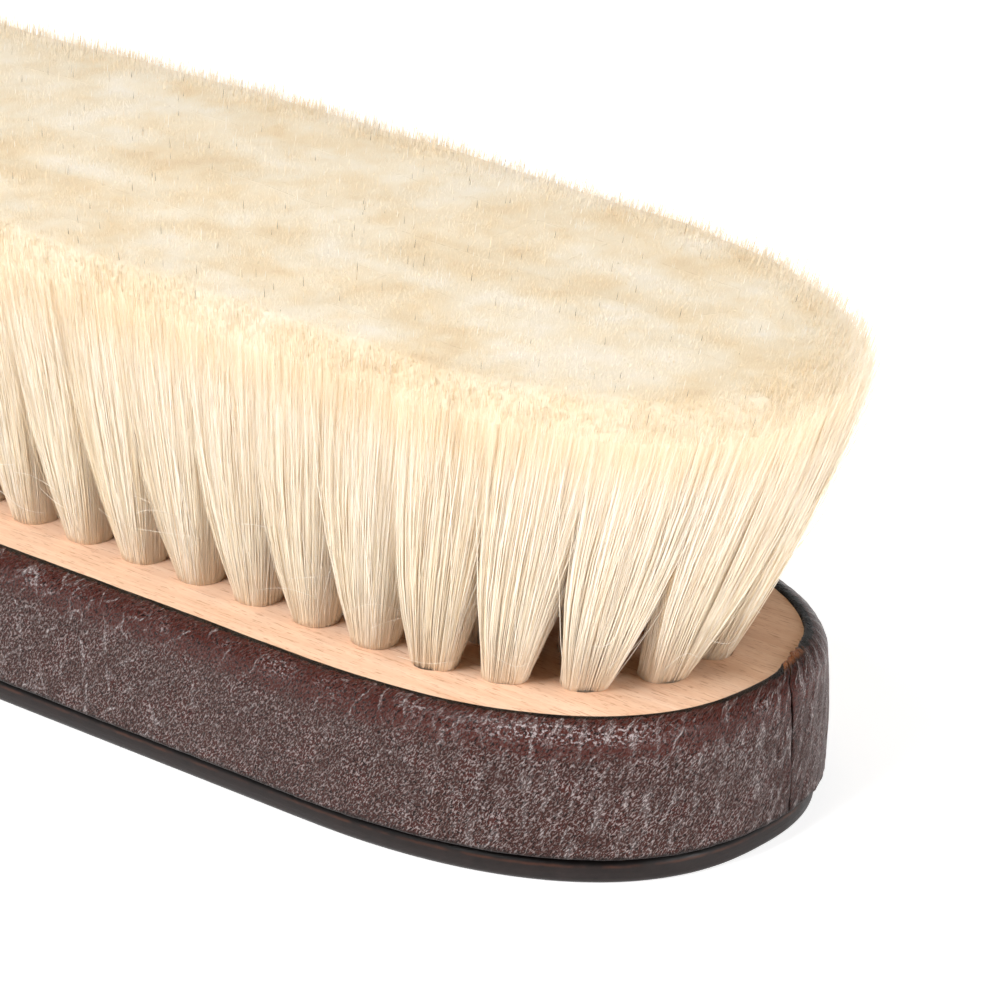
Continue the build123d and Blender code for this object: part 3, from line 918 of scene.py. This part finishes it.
# ------------------------------------------------------------------ back plate
def plate():
    """The thin leather plate under the block: a slightly uneven cut outline, edges burnished round."""
    inset = 1.08
    ring = closed_outline(inset, 420)[:-1]
    M = len(ring)
    nxt, prv = np.roll(ring, -1, 0), np.roll(ring, 1, 0)
    t = nxt - prv
    t /= np.linalg.norm(t, axis=1, keepdims=True)
    nrm = np.stack([t[:, 1], -t[:, 0]], 1)
    step = np.linalg.norm(nxt - ring, axis=1)
    s = np.concatenate([[0], np.cumsum(step)[:-1]])
    fade = np.clip(np.minimum(s, s[-1] - s) / 3, 0, 1)
    uneven = fade * (0.07 * smooth_noise(np.stack([s, 0 * s], 1), 13.0, 81) + 0.025 * smooth_noise(np.stack([s, 0 * s], 1), 2.0, 82))
    prof = [(7.0, 0.0), (2.0, 0.0)]
    prof += [(0.85 - 0.85 * math.sin(a), 0.85 - 0.85 * math.cos(a)) for a in np.linspace(0, math.pi / 2, 8)]
    prof += [(-0.04, 1.2), (-0.05, 1.45), (0.0, 1.7)]
    prof += [(0.0 + 1.2 - 1.2 * math.cos(a), 1.8 + 1.16 * math.sin(a)) for a in np.linspace(0.12, math.pi / 2, 9)]
    prof += [(2.4, PLATE_T), (7.0, PLATE_T)]
    rows = []
    for off, z in prof:
        edge = max(0.0, 1 - off / 1.5)
        xy = ring - nrm * off + nrm * (uneven * edge)[:, None]
        dz = 0.05 * smooth_noise(np.stack([s, 0 * s + z], 1), 6.0, 84) * fade * edge * (z > 0.5)
        rows.append(np.concatenate([xy, np.full((M, 1), z) + dz[:, None]], 1))
    rows = np.stack(rows)
    K = len(prof)
    V = rows.reshape(-1, 3)
    faces = [(k * M + i, k * M + (i + 1) % M, (k + 1) * M + (i + 1) % M, (k + 1) * M + i) for k in range(K - 1) for i in range(M)]
    faces += [tuple(range(M))[::-1], tuple(range((K - 1) * M, K * M))]
    me = bpy.data.meshes.new("back_plate_leather")
    me.from_pydata([tuple(v) for v in V * MM], [], faces)
    me.validate()
    me.polygons.foreach_set("use_smooth", np.ones(len(me.polygons), bool))
    obj = bpy.data.objects.new("back_plate_leather", me)
    scene.collection.objects.link(obj)
    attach(obj, "root")
    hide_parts("back_plate")
    return obj


def plate_material():
    n = Nodes("plate_leather")
    p = n.object_coords()
    sep = n.add("ShaderNodeSeparateXYZ")
    n.link(p, sep.inputs[0])
    z = n.math("MULTIPLY_ADD", n.noise(p, 0.9, 2.0), 0.22, sep.outputs[2])
    mott = n.noise(p, 0.5, 4.0, 0.6)
    base = n.ramp(mott, [(0.3, (0.009, 0.0055, 0.0050)), (0.7, (0.018, 0.0115, 0.0105))])
    brown = n.math("MULTIPLY", n.range(z, 1.95, 2.12, 0.0, 1.0), n.range(z, 2.42, 2.22, 0.0, 1.0))
    base = n.mix(n.math("MULTIPLY", brown, n.range(n.noise(p, 0.35, 2.0), 0.38, 0.62, 0.05, 0.75)), base, (0.060, 0.021, 0.011))
    # painted shadow: near black along the top of the edge, under the overhang of the wrap
    base = n.mix(n.range(z, 2.25, 2.5, 0.0, 1.0), base, (0.003, 0.002, 0.002))
    # a worn nap on the flat underside
    under = n.range(sep.outputs[2], 0.12, 0.02, 0.0, 1.0)
    nap = n.noise(n.mapping(p, (0.25, 1.0, 1.0)), 1.2, 4.0, 0.65)
    base = n.mix(under, base, n.ramp(nap, [(0.3, (0.016, 0.010, 0.008)), (0.7, (0.050, 0.030, 0.023))]))
    fib = n.noise(n.mapping(p, (0.5, 0.5, 3.0)), 2.2, 3.0, 0.6)
    n.set(Base_Color=base, Roughness=n.range(mott, 0.3, 0.7, 0.34, 0.50), Normal=n.bump(fib, 0.35, 0.00008))
    n.set(Specular_IOR_Level=0.20)
    return n.mat


assign(plate(), plate_material())


def steel_material():
    n = Nodes("anchor_steel")
    p = n.object_coords()
    n.set(Base_Color=n.ramp(n.noise(p, 3.0, 2.0), [(0.3, (0.5, 0.5, 0.49)), (0.7, (0.65, 0.65, 0.64))]), Metallic=1.0, Roughness=0.35)
    return n.mat


steel = steel_material()
for name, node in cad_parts.items():
    if name.startswith("anchors"):
        assign(node, steel)


# ------------------------------------------------------------------ floor and light
def floor():
    """A plain pale floor that sweeps up to a low cove far behind the object, all round."""
    rings = [(0.0, 0.0), (2.0, 0.0), (4.0, 0.0)] + [(4.0 + 2.4 * math.sin(a), 2.4 - 2.4 * math.cos(a)) for a in np.linspace(0.12, 1.2, 10)]
    M = 96
    verts, faces = [(0, 0, 0)], []
    for r, z in rings[1:]:
        verts += [(r * math.cos(2 * math.pi * i / M), r * math.sin(2 * math.pi * i / M), z) for i in range(M)]
    for i in range(M):
        faces.append((0, 1 + i, 1 + (i + 1) % M))
    for k in range(len(rings) - 2):
        for i in range(M):
            a, b = 1 + k * M, 1 + (k + 1) * M
            faces.append((a + i, b + i, b + (i + 1) % M, a + (i + 1) % M))
    me = bpy.data.meshes.new("studio_floor")
    me.from_pydata(verts, [], faces)
    me.polygons.foreach_set("use_smooth", np.ones(len(me.polygons), bool))
    o = bpy.data.objects.new("studio_floor", me)
    scene.collection.objects.link(o)
    n = Nodes("studio_white")
    n.set(Base_Color=(0.94, 0.94, 0.94, 1), Roughness=0.9)
    n.set(Specular_IOR_Level=0.0, Emission_Color=(1, 1, 1, 1), Emission_Strength=0.74)
    assign(o, n.mat)
    o.location.z = -0.00005


def area(name, loc, target, size, watts, colour=(1, 1, 1)):
    d = bpy.data.lights.new(name, "AREA")
    d.shape = "DISK"
    d.size = size
    d.energy = watts
    d.color = colour
    o = bpy.data.objects.new(name, d)
    o.location = loc
    o.rotation_mode = "QUATERNION"
    o.rotation_quaternion = (Vector(target) - Vector(loc)).to_track_quat("-Z", "Y")
    scene.collection.objects.link(o)
    o.visible_camera = False
    return o


def studio(left, up, away):
    """A place so many degrees to the left of the camera, seen from the object, and so many above the floor."""
    a, e = math.radians(CAM_AZ - left), math.radians(up)
    return (away * math.sin(a) * math.cos(e), -away * math.cos(a) * math.cos(e), away * math.sin(e) + 0.03)


def lights():
    w = bpy.data.worlds.new("studio")
    w.use_nodes = True
    bg = w.node_tree.nodes["Background"]
    bg.inputs["Color"].default_value = (1.0, 1.0, 1.0, 1)
    bg.inputs["Strength"].default_value = 0.06
    scene.world = w
    area("key", studio(45, 40, 2.3), (0, 0, 0.03), 1.0, 36)
    area("key_high", studio(45, 62, 2.3), (0, 0, 0.03), 1.0, 24)
    area("fill", studio(-50, 13, 2.3), (0, 0, 0.03), 1.0, 25)


floor()
lights()
